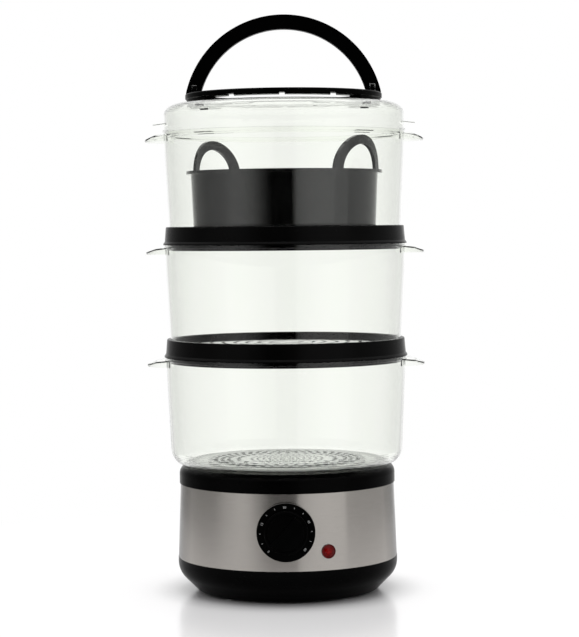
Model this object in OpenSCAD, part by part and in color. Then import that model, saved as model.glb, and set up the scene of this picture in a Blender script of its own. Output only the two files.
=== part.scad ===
// Electric food steamer: a heated water base, three stacked steaming tiers, a rice bowl and a lid with a
// folding carry handle. Millimetres, +Z up. The timer faces -Y. The origin is on the table under the axis.

/* [Base] */
// Diameter of the base at the top of the steel band, which the whole steamer follows
band_top_d = 202; // [180:1:226]
// How far the base stands out at the foot of the steel band
band_flare = 2.8; // [2:0.1:4]
// How far the flat underside lies in from the base's widest part
sole_in = 17.8; // [15:0.1:20]
// Height of the rubber feet
foot_h = 2; // [1.8:0.1:4]
// Diameter of a rubber foot
foot_d = 14; // [10:1:18]
// How far the feet lie in from the ledge that carries the bottom cover
foot_in = 2.7; // [1:0.1:8]
// Height of the black lower housing
housing_h = 30.5; // [29:0.5:40]
// Radius of the round where the lower housing turns up
housing_round = 20; // [12:1:22]
// Wall of the moulded housings
shell_t = 2.4; // [1.8:0.1:3]
// Height of the steel band
band_h = 70; // [66:1:80]
// Thickness of the steel band
band_t = 0.6; // [0.4:0.1:1]
// Height of the black rim above the steel band
rim_h = 17; // [13:0.5:22]
// Round on the top edge of the black rim
rim_round = 8; // [5:0.5:9]
// Thickness of the bottom cover
cover_t = 2.4; // [1.8:0.1:3]

/* [Water tank] */
// Gap between the timer and the tank's shelf above it
shelf_gap = 3.6; // [1:0.1:5]
// Width of the shelf round the deep well in the middle
shelf_w = 26; // [25:0.5:30]
// Depth of the well below the shelf
well_depth = 39; // [34:1:42]
// Diameter of the screw posts under the tank
post_d = 8; // [7:0.5:10]
// Gap between the screw posts and the ledge that carries the bottom cover
post_gap = 0.3; // [0.2:0.1:2]

/* [Heater] */
// Diameter of the heating plate's face in the water
plate_d = 72; // [66:1:76]
// How far the plate's face stands above the well's floor
plate_rise = 1; // [0.5:0.1:2]
// Width of the shoulder that clamps the seal
plate_shoulder = 6; // [4:0.5:7]
// Thickness of the plate at its shoulder
plate_t = 4; // [3:0.5:5]
// Thickness of the silicone seal
seal_t = 1.5; // [1:0.1:2]
// Diameter of the heating element's tube
element_d = 8; // [6.5:0.5:9]
// Distance of the element from the axis
element_r = 27; // [26:0.5:29]
// How deep the element lies in the plate
element_sunk = 1.5; // [1:0.1:2]
// Thickness of the clamping bracket
bracket_t = 2; // [1.5:0.1:3]
// Distance of the bracket's screws from the plate's edge
bracket_screw_out = 9; // [6:0.5:12]
// Diameter of the thermostat
thermostat_d = 18; // [14:1:20]
// Height of the thermostat
thermostat_h = 8; // [6:0.5:10]
// Diameter of the thermal fuse's sleeve
fuse_d = 6; // [4:0.5:7]
// Length of the thermal fuse's sleeve
fuse_l = 16; // [12:1:18]

/* [Controls] */
// How far the dial's centre lies above the middle of the steel band
dial_above = 0.5; // [-2:0.5:4]
// Diameter of the black dial plate
dial_d = 53.2; // [50:0.2:56]
// How far the dial plate stands out of the steel band
dial_proud = 2.2; // [1.8:0.1:3]
// Diameter of the timer knob's skirt
knob_d = 40; // [38:0.5:42]
// Depth of the timer knob, from the dial plate
knob_h = 10.2; // [9:0.2:11.4]
// Width of the knob's grip bar
grip_w = 7; // [6:0.5:9]
// Diameter of the timer's shaft
shaft_d = 6; // [5:0.5:7]
// Width and height of the timer
timer_w = 40; // [36:1:41]
// Depth of the timer
timer_depth = 22; // [18:0.5:23]
// Distance of the timer's screws from its shaft
timer_screw_r = 14.5; // [13:0.5:15]
// Angle of the pilot lamp round the base from the front, degrees
lamp_angle = 21.8; // [20:0.2:30]
// Height of the pilot lamp above the foot of the steel band
lamp_rise = 17.2; // [12:0.1:30]
// Diameter of the lamp's lens
lens_d = 13; // [11:0.5:15]
// Height of the mains inlet above the foot of the steel band
inlet_rise = 19.5; // [12:0.5:30]
// Diameter of the mains lead that the gland takes
lead_d = 7; // [6:0.5:8]

/* [Steam ring and drip tray] */
// Inside diameter of the steam ring
steam_ring_d = 92; // [90:1:96]
// Height of the steam ring
steam_ring_h = 36; // [30:1:38]
// Wall of the steam ring and the drip tray
thin_t = 1.6; // [1.2:0.1:2]
// Thickness of the drip tray's flange
tray_flange_t = 1.8; // [1.4:0.1:2.4]
// Width of the drip tray's flange
tray_flange_w = 4; // [3:0.5:5]
// Depth of the drip tray
tray_depth = 16.5; // [12:0.5:18]
// Diameter of the hub that lets the steam through
tray_hub_d = 50; // [46:1:56]
// Height of the hub
tray_hub_h = 9; // [6:0.5:11]

/* [Tiers] */
// How far a basket's rim stands out past the top of the steel band
rim_past = 12.2; // [11:0.1:15]
// Wall of the clear baskets
wall_t = 1.8; // [1.5:0.1:2.2]
// Thickness of the clear bead round a basket's rim
bead_t = 0.6; // [0.4:0.1:0.9]
// Height of the lowest basket
bowl_h = 102; // [90:1:115]
// How much the lowest basket narrows towards its foot
bowl_draft = 3.8; // [3:0.1:4.6]
// Round at the foot of the lowest basket
bowl_round = 15; // [12:0.5:16]
// Floor of the lowest basket
bowl_floor_t = 2.6; // [1.8:0.1:3]
// Height from one tier to the next
tier_h = 105.5; // [95:0.5:120]
// How much the upper baskets narrow towards their ring
wall_draft = 4.3; // [3.8:0.1:5]
// Height of a black tier ring
ring_h = 17; // [15:0.5:20]
// How far a ring's skirt reaches into the basket below
skirt_h = 5; // [4:0.5:7]
// Free play between a skirt and the rim round it
stack_gap = 0.6; // [0.5:0.1:0.8]
// How deep a clear wall stands in its ring
groove_h = 6; // [5:0.5:8]
// Thickness of the perforated floors
floor_t = 2.4; // [2:0.1:3]
// How deep a perforated floor lies in its ring
floor_drop = 4; // [3:0.1:6]
// How far the basket handles stand out from the rim
grip_out = 18; // [15:0.5:20]
// Half the width of a basket handle
grip_half = 35; // [30:1:38]
// Depth of a basket handle at the rim
grip_deep = 7.1; // [6.5:0.1:8]

/* [Floor of the lowest basket] */
// How far the perforated insert lies in from the rib under the floor
insert_in = 11.1; // [9:0.1:16]
// Thickness of the insert's flange
insert_t = 1.2; // [0.8:0.1:2]
// Diameter of the large holes
hole_d = 4.6; // [4:0.1:4.8]
// Diameter of the fine holes in the middle
fine_hole_d = 2.6; // [2:0.1:3]

/* [Rice bowl] */
// Diameter of the rice bowl under its rim
rice_d = 176.4; // [170:0.2:180]
// How much the rice bowl narrows towards its foot
rice_draft = 2; // [1:0.1:4]
// Height of the rice bowl
rice_h = 56; // [50:0.5:58]
// Width of the rice bowl's rim
rice_rim_w = 4.3; // [3.8:0.1:5]
// Thickness of the rice bowl's rim
rice_rim_t = 3; // [2:0.1:4]
// Wall of the rice bowl
rice_t = 2; // [1.6:0.1:2.6]
// Width of a lifting loop
loop_w = 66; // [58:1:70]
// Height of a lifting loop above the rim
loop_h = 31; // [26:0.5:31.5]
// Width of a loop's band
loop_band = 8.5; // [7:0.5:10]
// Thickness of a loop's band
loop_t = 3.4; // [2.6:0.1:4]
// Angle of the near loop round the bowl from the front, degrees
loop_angle = 52; // [0:1:90]

/* [Lid] */
// Height of the lid's side, from the basket rim to the start of the shoulder
lid_side_h = 16.5; // [15:0.5:22]
// Width of the lid's round shoulder
lid_round = 16; // [13:0.5:18]
// Height of the lid's round shoulder
lid_crown = 10.6; // [9:0.1:12]
// Rise of the lid's top towards its middle
lid_rise = 3.4; // [2:0.1:4]
// Height of the lid's side tabs above the basket rim
lid_tab_z = 7.3; // [6:0.1:9]
// How far the lid's side tabs stand out past the basket rim
lid_tab_out = 10.6; // [8:0.2:12]
// Diameter of a steam vent in the lid
vent_d = 5; // [4:0.5:7]

/* [Carry handle] */
// How far the handle ring on the lid lies in from the baskets' rim
carry_ring_in = 20.7; // [18:0.1:24]
// Width of the handle ring
carry_ring_w = 14.5; // [14:0.5:16]
// Thickness of the handle ring
carry_ring_t = 5.6; // [4.5:0.1:7]
// Height of the feet under the handle ring
carry_foot_h = 3.2; // [2:0.1:4]
// How far the bail's arc stands out past the handle ring
bail_past = 1.7; // [1:0.1:2.4]
// Width of the bail's bar
bail_w = 13.7; // [13:0.1:14.2]
// Depth of the bail's bar, front to back
bail_t = 8; // [7:0.5:9]
// Height of the bail above the handle ring
bail_rise = 74; // [73:0.5:77]
// Thickness of the lugs that carry the bail
lug_t = 4.4; // [4:0.1:4.8]
// Diameter of the bail's pins
pin_d = 3; // [2.5:0.1:3.5]

/* [Hidden] */
$fn = 72;

black = [0.03, 0.03, 0.03];
clear = [0.92, 0.96, 0.94, 0.3];
steel = [0.62, 0.60, 0.58];
zinc = [0.75, 0.75, 0.77];

// Clearances
close_gap = 0.1;     // round pieces that are pushed together
free_gap = 0.3;      // round pieces that lift apart
turn_gap = 0.05;     // a shaft or pin in its bearing
skin_gap = 0.05;     // what is fixed on the steel band
join = 0.2;          // how far joined shapes run into each other

// Levels and radii of the base
base_r = band_top_d / 2 + band_flare;
sole_r = base_r - sole_in;
band_inset = 0.2;
z_sole = foot_h;
z_band = z_sole + housing_h;
z_rim = z_band + band_h;
z_seat = z_rim + rim_h;
z_cover = z_sole + cover_t;
dial_z = z_band + band_h / 2 + dial_above;
lamp_z = z_band + lamp_rise;
inlet_z = z_band + inlet_rise;
timer_top = dial_z + timer_w / 2;
z_shelf = timer_top + shelf_gap + shell_t;
z_well = z_shelf - well_depth;
rim_over = 0.9;
rim_r = band_top_d / 2 + rim_over;
seat_r = rim_r - rim_round;
seat_lip = 1.6;
tray_seat_r = seat_r - seat_lip;
tray_r = tray_seat_r - free_gap;
tank_r = tray_seat_r - tray_flange_w - free_gap;
well_r = tank_r - shelf_w;
cover_lip = 2;
cover_r = sole_r - cover_lip - free_gap;
ledge_w = 4;
foot_stem_d = 4;
foot_r = cover_r - ledge_w - foot_in - foot_d / 2;

// Screws
screw_d = 2.9;
screw_head_d = 6.4;
screw_head_t = 1.4;
screw_bite = 16;
screw_hole_d = screw_d + 0.6;
post_r = cover_r - ledge_w - post_gap - post_d / 2;

// Heater stack, down from the well's floor
z_floor = z_well - shell_t;
z_shoulder = z_floor - seal_t;
z_plate = z_shoulder - plate_t;
z_element = z_plate + element_sunk - element_d / 2;
z_bracket = z_element - element_d / 2;
bracket_arm_w = 11;
bracket_post_d = 7;
bracket_screw_r = plate_d / 2 + plate_shoulder + bracket_screw_out;
element_gap_angle = 50;
pin_angle = element_gap_angle / 2 + 2;
terminal_pin_d = 3;
terminal_pin_l = 9;
block = [26, 10, 12];
block_y = foot_r - foot_stem_d / 2 - 8;
terminal_pitch = 8;

// Lamp and inlet
lens_hole_d = lens_d - 3;
lens_body_l = 6;
gland_d = lead_d + 4;
gland_flange_d = gland_d + 6;
lens_seat_r = band_r(lamp_z - lens_d / 2) + skin_gap;
gland_seat_r = band_r(inlet_z - gland_flange_d / 2) + skin_gap;

// Timer and dial
dial_front = band_r(dial_z) + dial_proud;
timer_front = sqrt(pow(wall_in_r(timer_top), 2) - pow(timer_w / 2, 2)) - free_gap;
timer_back = timer_front - timer_depth;
bush_d = shaft_d + 4;
bush_hole_d = bush_d + 0.4;
shaft_flat = shaft_d / 2 - 1;
shaft_floor = 2;
screw_floor = 4;
knob_lift = 0.5;
knob_bore_h = 7.5;
knob_off_angle = -137;

// Steam ring and tray
z_tray = z_seat - tray_depth;
tray_wall_r = tank_r - free_gap;
rib_out = tray_wall_r - thin_t - stack_gap;
insert_r = rib_out - insert_in;

// Tier levels: the rim of basket n
function rim_z(n) = z_seat + bowl_h + (n - 1) * tier_h;
rim_out = band_top_d / 2 + rim_past;
bead_h = 2.5;
bead_run = 1;
skirt_r = rim_out - wall_t - stack_gap;
skirt_t = 1.8;
skirt_edge = 0.5;
lip_out = 1.6;
lip_h = 1.2;
ring_foot_r = rim_out + 0.2;
ring_step_h = 3;
ring_top_r = rim_out - 0.9;
ring_edge = 1.2;
foot_wall_r = rim_out - wall_draft;
wall_slope = wall_draft / (tier_h - ring_h);
plate_seat_w = 4;
ledge_t = 2;
rib_t = 1.6;
rib_drop = 0.3;
floor_r = foot_wall_r - wall_t - wall_slope * groove_h - rib_t - 2 * close_gap - 0.3;

// Rice bowl
z_rice = rim_z(2) + ring_h - floor_drop;
z_rice_rim = z_rice + rice_h;
rice_rim_r = rice_d / 2 + rice_rim_w;
loop_r = rice_d / 2 + rice_rim_w / 2;

// Lid and carry handle
z_lid = rim_z(3);
lid_lip_r = rim_out + 1.2;
lid_shoulder_r = rim_out - 0.3;
z_lid_top = z_lid + lid_side_h + lid_crown;
carry_r = rim_out - carry_ring_in;
bail_r = carry_r + bail_past;
dome_r = carry_r - carry_ring_w - 1.5;
z_carry = z_lid_top + carry_foot_h;
z_carry_top = z_carry + carry_ring_t;
carry_foot_angle = 39;
rivet_angle = 25;
rivet_r = carry_r - carry_ring_w / 2;
rivet_d = 4;
rivet_cap = 1.2;
bail_gap = 0.4;
z_bail_axis = z_carry_top + bail_gap + bail_t / 2;
z_bail_centre = z_carry_top + bail_rise - bail_r;
lug_x = sqrt(pow(bail_r - bail_w / 2, 2) - pow(z_bail_axis - z_bail_centre, 2));
fork_gap = 0.3;

// Radius of the steel band's outside at height z, and of the housing's inside behind it
function band_r(z) = base_r - band_inset - (base_r - band_inset - band_top_d / 2) * (z - z_band) / band_h;
function wall_in_r(z) = band_r(z) - band_t - shell_t;

// Points of an arc about (cx, cy), from angle a to angle b; ry makes it an ellipse
function arc(cx, cy, r, a, b, n = 8, ry = 0) =
    [for (i = [0:n]) [cx + r * cos(a + (b - a) * i / n),
                      cy + (ry == 0 ? r : ry) * sin(a + (b - a) * i / n)]];

// Places a piece that points out of the base at distance r from the axis: local +Z becomes outwards
module facing_front(r, z, angle = 0) {
    rotate([0, 0, angle]) translate([0, -r, z]) rotate([90, 0, 0]) children();
}

module ring_of(count, r, start = 0) {
    for (i = [0:count - 1]) rotate([0, 0, start + 360 * i / count]) translate([r, 0, 0]) children();
}

module at_posts() {
    ring_of(4, post_r, 45) children();
}

module at_bracket_screws() {
    ring_of(3, bracket_screw_r, 30) children();
}

// ---------- base ----------

module rubber_feet() {
    stem_over = 1;
    color(black) ring_of(4, foot_r) {
        cylinder(h = foot_h, d = foot_d);
        cylinder(h = foot_h + cover_t + stem_over, d = foot_stem_d);
    }
}

module bottom_cover() {
    slot_w = 3;
    slot_l = 26;
    slot_pitch = 9;
    slots_each_side = 3;
    color(black) difference() {
        translate([0, 0, z_sole]) cylinder(h = cover_t, r = cover_r);
        ring_of(4, foot_r) cylinder(h = z_cover + 1, d = foot_stem_d + 2 * close_gap);
        at_posts() cylinder(h = z_cover + 1, d = screw_hole_d);
        for (i = [-slots_each_side:slots_each_side])
            translate([i * slot_pitch - slot_w / 2, -slot_l / 2, 0])
                cube([slot_w, slot_l, z_cover + 1]);
    }
}

// Section of the lower housing: chamfered underside, round, and a wall that runs up behind the steel band
module housing_section() {
    c = base_r - housing_round;
    zc = z_sole + sole_in - housing_round + housing_round * sqrt(2);
    inner_round = housing_round - shell_t;
    z_ledge = z_cover + shell_t;
    chamfer_in = sole_r - z_sole - shell_t * sqrt(2);
    polygon(concat(
        [[sole_r, z_sole]],
        arc(c, zc, housing_round, -45, 0),
        [[base_r, z_band], [band_r(z_band) - band_t, z_band], [band_r(z_rim) - band_t, z_rim],
         [wall_in_r(z_rim), z_rim], [wall_in_r(z_band), z_band], [c + inner_round, z_band]],
        arc(c, zc, inner_round, 0, -45),
        [[chamfer_in + z_ledge, z_ledge], [cover_r - ledge_w, z_ledge], [cover_r - ledge_w, z_cover],
         [cover_r + free_gap, z_cover], [cover_r + free_gap, z_sole]]));
}

// The round holes through the wall of the base at its front
module front_holes() {
    deep = 20;
    facing_front(dial_front, dial_z) translate([0, 0, -deep]) cylinder(h = 2 * deep, d = bush_hole_d);
    for (s = [-1, 1])
        facing_front(dial_front, dial_z) translate([s * timer_screw_r, 0, -deep])
            cylinder(h = 2 * deep, d = screw_hole_d);
    facing_front(band_r(lamp_z), lamp_z, lamp_angle) translate([0, 0, -deep])
        cylinder(h = 2 * deep, d = lens_hole_d);
}

// The gland slides down into a slot in the housing's wall, and the steel band covers the slot
module lower_housing() {
    slot_w = gland_d + 2 * close_gap;
    color(black) difference() {
        rotate_extrude() housing_section();
        front_holes();
        translate([-slot_w / 2, tank_r, inlet_z - slot_w / 2]) cube([slot_w, base_r - tank_r, z_rim]);
    }
}

module steel_band() {
    color(steel) difference() {
        rotate_extrude() polygon([
            [band_r(z_band), z_band], [band_r(z_rim), z_rim],
            [band_r(z_rim) - band_t, z_rim], [band_r(z_band) - band_t, z_band]]);
        front_holes();
        facing_front(base_r, inlet_z, 180) translate([0, 0, tank_r - base_r])
            cylinder(h = base_r, d = gland_d + 2 * close_gap);
    }
}

module tank_section() {
    z_flange = z_seat - tray_flange_t;
    inner_round = rim_round - shell_t;
    polygon(concat(
        [[rim_r, z_rim]],
        arc(seat_r, z_seat - rim_round, rim_round, 0, 90),
        [[tray_seat_r, z_seat], [tray_seat_r, z_flange], [tank_r, z_flange],
         [tank_r, z_shelf], [well_r, z_shelf], [well_r, z_well],
         [plate_d / 2 + close_gap, z_well], [plate_d / 2 + close_gap, z_floor],
         [well_r + shell_t, z_floor], [well_r + shell_t, z_shelf - shell_t],
         [tank_r + shell_t, z_shelf - shell_t], [tank_r + shell_t, z_flange - shell_t],
         [seat_r, z_flange - shell_t]],
        arc(seat_r, z_seat - rim_round, inner_round, 90, 0),
        [[rim_r - shell_t, z_rim]]));
}

module water_tank() {
    color(black) difference() {
        union() {
            rotate_extrude() tank_section();
            at_posts() translate([0, 0, z_cover])
                cylinder(h = z_shelf - shell_t - z_cover + join, d = post_d);
            at_bracket_screws() translate([0, 0, z_bracket])
                cylinder(h = z_floor - z_bracket + join, d = bracket_post_d);
        }
        at_posts() cylinder(h = z_cover + screw_bite, d = screw_d);
        at_bracket_screws() cylinder(h = z_floor - 1, d = screw_d);
    }
}

module element_ring(extra = 0) {
    rotate([0, 0, 90 + element_gap_angle / 2]) rotate_extrude(angle = 360 - element_gap_angle)
        translate([element_r, z_element]) circle(d = element_d + 2 * extra);
}

module heating_plate() {
    color(zinc) difference() {
        union() {
            translate([0, 0, z_plate]) cylinder(h = plate_t, r = plate_d / 2 + plate_shoulder);
            cylinder_from(z_plate, z_well + plate_rise, plate_d);
        }
        rotate_extrude() translate([element_r, z_element]) circle(d = element_d + 2 * turn_gap);
    }
}

module cylinder_from(z0, z1, d) {
    translate([0, 0, z0]) cylinder(h = z1 - z0, d = d);
}

module element_seal() {
    color([0.75, 0.3, 0.2]) difference() {
        cylinder_from(z_shoulder, z_floor, plate_d + 2 * plate_shoulder);
        cylinder_from(z_shoulder - 1, z_floor + 1, plate_d + 2 * close_gap);
    }
}

// An open loop of tube with a terminal pin hanging from each end
module heating_element() {
    color(zinc) {
        element_ring();
        for (s = [-1, 1]) rotate([0, 0, 90 + s * pin_angle])
            translate([element_r, 0, z_element - terminal_pin_l])
                cylinder(h = terminal_pin_l, d = terminal_pin_d);
    }
}

module element_bracket() {
    hub_r = element_r + element_d / 2;
    color(zinc) difference() {
        union() {
            cylinder_from(z_bracket - bracket_t, z_bracket, 2 * hub_r);
            for (a = [30:120:270]) rotate([0, 0, a])
                translate([0, -bracket_arm_w / 2, z_bracket - bracket_t])
                    cube([bracket_screw_r + bracket_arm_w / 2, bracket_arm_w, bracket_t]);
        }
        cylinder_from(z_bracket - bracket_t - 1, z_bracket + 1, 2 * (element_r - element_d / 2));
        for (s = [-1, 1]) rotate([0, 0, 90 + s * pin_angle])
            translate([element_r, 0, z_bracket - bracket_t - 1])
                cylinder(h = bracket_t + 2, d = terminal_pin_d + 3);
        at_bracket_screws() cylinder(h = z_floor, d = screw_hole_d);
    }
}

// A pan-head screw: the head's face is at local zero and the shank runs up
module screw(length) {
    translate([0, 0, -screw_head_t]) cylinder(h = screw_head_t, d = screw_head_d);
    cylinder(h = length, d = screw_d);
}

module bracket_screws() {
    color(zinc) at_bracket_screws() translate([0, 0, z_bracket - bracket_t])
        screw(z_floor - 2 - z_bracket + bracket_t);
}

module thermostat() {
    tab = [6, 0.8, 7];
    tab_y = 5;
    color([0.8, 0.8, 0.78]) {
        cylinder_from(z_plate - thermostat_h, z_plate, thermostat_d);
        for (s = [-1, 1]) translate([-tab[0] / 2, s * tab_y - tab[1] / 2, z_plate - thermostat_h - tab[2]])
            cube([tab[0], tab[1], tab[2] + join]);
    }
}

module thermal_fuse() {
    y = thermostat_d / 2 + fuse_d / 2 + free_gap;
    color([0.85, 0.82, 0.7]) translate([-fuse_l / 2, -y, z_plate - fuse_d / 2])
        rotate([0, 90, 0]) cylinder(h = fuse_l, d = fuse_d);
}

module terminal_block() {
    well_floor = 4;
    color([0.85, 0.85, 0.8]) difference() {
        translate([-block[0] / 2, block_y - block[1], z_cover]) cube(block);
        for (i = [-1:1]) translate([i * terminal_pitch, block_y - block[1] / 2, z_cover + well_floor])
            cylinder(h = block[2], d = 4);
    }
}

// A wire along straight runs, each a little longer than its run so that the corners are filled
module lead(points, d = 2.2) {
    for (i = [1:len(points) - 1]) {
        v = points[i] - points[i - 1];
        l = norm(v);
        start = i == 1 ? 0 : d / 2;
        end = i == len(points) - 1 ? 0 : d / 2;
        translate(points[i - 1]) rotate([0, acos(v[2] / l), atan2(v[1], v[0])])
            translate([0, 0, -start]) cylinder(h = start + l + end, d = d);
    }
}

module inner_leads() {
    z_pin = z_element - terminal_pin_l;
    z_low = z_cover + block[2] - 3;
    run_rise = 9;
    over_rise = 4;
    z_run = z_low + run_rise;
    z_over = z_run + over_rise;
    near_x = 24;
    far = [-34, 8];
    pin_x = -element_r * sin(pin_angle);
    pin_y = element_r * cos(pin_angle);
    block_in = block_y - block[1] / 2;
    timer_side = timer_w / 2 - 6;
    timer_mid = timer_depth / 2 - timer_front;
    z_timer = timer_top - timer_w;
    color([0.55, 0.2, 0.15]) {
        lead([[pin_x, pin_y, z_pin], [pin_x, pin_y, z_run], [-terminal_pitch, block_in, z_run],
              [-terminal_pitch, block_in, z_low]]);
        lead([[-pin_x, pin_y, z_pin], [-pin_x, pin_y, z_run], [near_x, 0, z_run],
              [timer_side, timer_mid, z_run], [timer_side, timer_mid, z_timer]]);
        lead([[terminal_pitch, block_in, z_low], [terminal_pitch, block_in, z_over], [far[0], far[1], z_over],
              [-timer_side, timer_mid, z_over], [-timer_side, timer_mid, z_timer]]);
    }
}

module timer_body() {
    color([0.78, 0.76, 0.7]) difference() {
        union() {
            translate([-timer_w / 2, -timer_front, dial_z - timer_w / 2])
                cube([timer_w, timer_depth, timer_w]);
            facing_front(timer_front - 1, dial_z)
                cylinder(h = dial_front - dial_proud - timer_front, d = bush_d);
        }
        facing_front(timer_back + shaft_floor, dial_z)
            cylinder(h = dial_front, d = shaft_d + 2 * turn_gap);
        for (s = [-1, 1]) facing_front(timer_back + screw_floor, dial_z)
            translate([s * timer_screw_r, 0, 0]) cylinder(h = timer_depth, d = screw_d);
    }
}

module timer_bell() {
    bell_d = 28;
    bell_h = 5;
    color([0.8, 0.65, 0.3]) translate([0, -timer_back, dial_z]) rotate([-90, 0, 0]) difference() {
        cylinder(h = bell_h, d = bell_d);
        translate([0, 0, 1]) cylinder(h = bell_h - 2, d = bell_d - 2);
    }
}

module timer_screws() {
    length = dial_front - screw_head_t - timer_back - screw_floor - 1;
    color(zinc) for (s = [-1, 1]) facing_front(dial_front - screw_head_t, dial_z)
        translate([s * timer_screw_r, 0, 0]) rotate([180, 0, 0]) screw(length);
}

// A round plate whose back follows the curve of the steel band
module dial_plate() {
    color(black) difference() {
        facing_front(dial_front, dial_z) translate([0, 0, -dial_front / 4])
            cylinder(h = dial_front / 4, d = dial_d);
        translate([0, 0, z_band])
            cylinder(h = band_h, r1 = band_r(z_band) + skin_gap, r2 = band_r(z_rim) + skin_gap, $fn = 360);
        facing_front(dial_front, dial_z) translate([0, 0, -dial_front / 4])
            cylinder(h = dial_front / 2, d = bush_hole_d);
        for (s = [-1, 1]) facing_front(dial_front, dial_z) translate([s * timer_screw_r, 0, 0]) {
            translate([0, 0, -screw_head_t]) cylinder(h = 2 * screw_head_t, d = screw_head_d + 0.4);
            translate([0, 0, -10]) cylinder(h = 20, d = screw_hole_d);
        }
    }
}

module timer_shaft() {
    end_play = 0.5;
    from_back = dial_front - timer_back - shaft_floor - end_play;
    reach = knob_lift + knob_bore_h - end_play;
    color(zinc) facing_front(dial_front, dial_z) rotate([0, 0, -knob_off_angle]) difference() {
        translate([0, 0, -from_back]) cylinder(h = from_back + reach, d = shaft_d);
        translate([-shaft_d, shaft_flat, 0]) cube([2 * shaft_d, shaft_d, 2 * reach]);
    }
}

module timer_knob() {
    skirt = 3;
    waist_d = knob_d - 5;
    top_d = knob_d - 8;
    pointer_w = 1.2;
    color(black) facing_front(dial_front, dial_z) rotate([0, 0, -knob_off_angle]) difference() {
        union() {
            translate([0, 0, knob_lift]) cylinder(h = skirt - 1, d = knob_d);
            translate([0, 0, knob_lift + skirt - 1]) cylinder(h = 1, d1 = knob_d, d2 = knob_d - 2);
            translate([0, 0, knob_lift + skirt - join]) cylinder(h = 3, d1 = waist_d, d2 = top_d);
            intersection() {
                translate([-grip_w / 2, -knob_d / 2, knob_lift + 1]) cube([grip_w, knob_d, knob_h - 1]);
                translate([0, 0, knob_lift])
                    cylinder(h = knob_h - knob_lift, d1 = knob_d - 1, d2 = knob_d - 7);
            }
        }
        difference() {
            cylinder(h = knob_lift + knob_bore_h, d = shaft_d + 2 * turn_gap);
            translate([-shaft_d, shaft_flat + turn_gap, 0]) cube([2 * shaft_d, shaft_d, knob_h]);
        }
        translate([-pointer_w / 2, knob_d / 5, knob_h - 0.6]) cube([pointer_w, knob_d / 3, 1]);
    }
}

module lamp_lens() {
    flange_t = 1;
    dome_r = 9;
    flat_d = lens_d - 2.4;
    dome_h = dome_r - sqrt(pow(dome_r, 2) - pow(flat_d / 2, 2));
    color([0.6, 0.02, 0.02]) facing_front(lens_seat_r, lamp_z, lamp_angle) {
        translate([0, 0, flange_t]) intersection() {
            translate([0, 0, dome_h - dome_r]) sphere(r = dome_r);
            cylinder(h = dome_r, d = flat_d);
        }
        cylinder(h = flange_t, d = lens_d);
        translate([0, 0, -lens_body_l]) cylinder(h = lens_body_l + join, d = lens_hole_d - 2 * close_gap);
    }
}

module neon_lamp() {
    length = 16;
    pin = [0.8, 3, 6];
    pin_x = 2.5;
    color([0.9, 0.7, 0.6]) facing_front(lens_seat_r - lens_body_l - length, lamp_z, lamp_angle) {
        cylinder(h = length, d = lens_hole_d - 1);
        for (s = [-1, 1]) translate([s * pin_x - pin[0] / 2, -pin[1] / 2, -pin[2]])
            cube([pin[0], pin[1], pin[2] + join]);
    }
}

// A flanged bush for the mains lead, pushed through the back of the base
module cord_gland() {
    out_t = 3;
    in_t = 2;
    wall = gland_seat_r - wall_in_r(inlet_z + gland_flange_d / 2) + close_gap;
    color(black) facing_front(gland_seat_r, inlet_z, 180) difference() {
        union() {
            cylinder(h = out_t, d1 = gland_flange_d, d2 = gland_flange_d - 2);
            translate([0, 0, -wall]) cylinder(h = wall + join, d = gland_d);
            translate([0, 0, -wall - in_t]) cylinder(h = in_t, d = gland_flange_d - 2);
        }
        translate([0, 0, -wall - in_t - 1]) cylinder(h = wall + in_t + out_t + 2, d = lead_d);
    }
}

module base_screws() {
    color(zinc) at_posts() translate([0, 0, z_sole]) screw(cover_t + screw_bite - 2);
}

// ---------- in the water tank ----------

module steam_ring() {
    r = steam_ring_d / 2;
    notch = [8, 14, 8];
    rib_h = 15;
    rib_l = well_r - r - free_gap - join;
    color([0.85, 0.85, 0.85]) difference() {
        union() {
            translate([0, 0, z_well]) cylinder(h = steam_ring_h, r = r + thin_t);
            for (a = [0:90:270]) rotate([0, 0, a]) translate([r, -thin_t / 2, z_well])
                cube([rib_l, thin_t, rib_h]);
        }
        translate([0, 0, z_well - 1]) cylinder(h = steam_ring_h + 2, r = r);
        for (a = [45:90:315]) rotate([0, 0, a])
            translate([r + thin_t / 2 - notch[0] / 2, -notch[1] / 2, z_well - 1])
                cube([notch[0], notch[1], notch[2] + 1]);
    }
}

module drip_tray() {
    hub_r = tray_hub_d / 2;
    z_hub = z_tray + tray_hub_h;
    hub_draft = 1;
    flare = 0.6;
    steam_holes = 8;
    steam_hole_d = hub_r * 0.3;
    color([0.85, 0.85, 0.83]) difference() {
        rotate_extrude() polygon([
            [0, z_hub], [0, z_hub + thin_t], [hub_r, z_hub + thin_t], [hub_r + hub_draft, z_tray + thin_t],
            [tray_wall_r - thin_t, z_tray + thin_t], [tray_wall_r - thin_t, z_seat - thin_t],
            [tray_wall_r - thin_t + flare, z_seat], [tray_r, z_seat], [tray_r, z_seat - tray_flange_t],
            [tray_wall_r, z_seat - tray_flange_t], [tray_wall_r, z_tray],
            [hub_r - thin_t + flare, z_tray], [hub_r - thin_t, z_hub]]);
        ring_of(steam_holes, hub_r - thin_t - hub_draft - steam_hole_d)
            cylinder_from(z_hub - 1, z_hub + thin_t + 1, steam_hole_d);
    }
}

// ---------- tiers ----------

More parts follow.
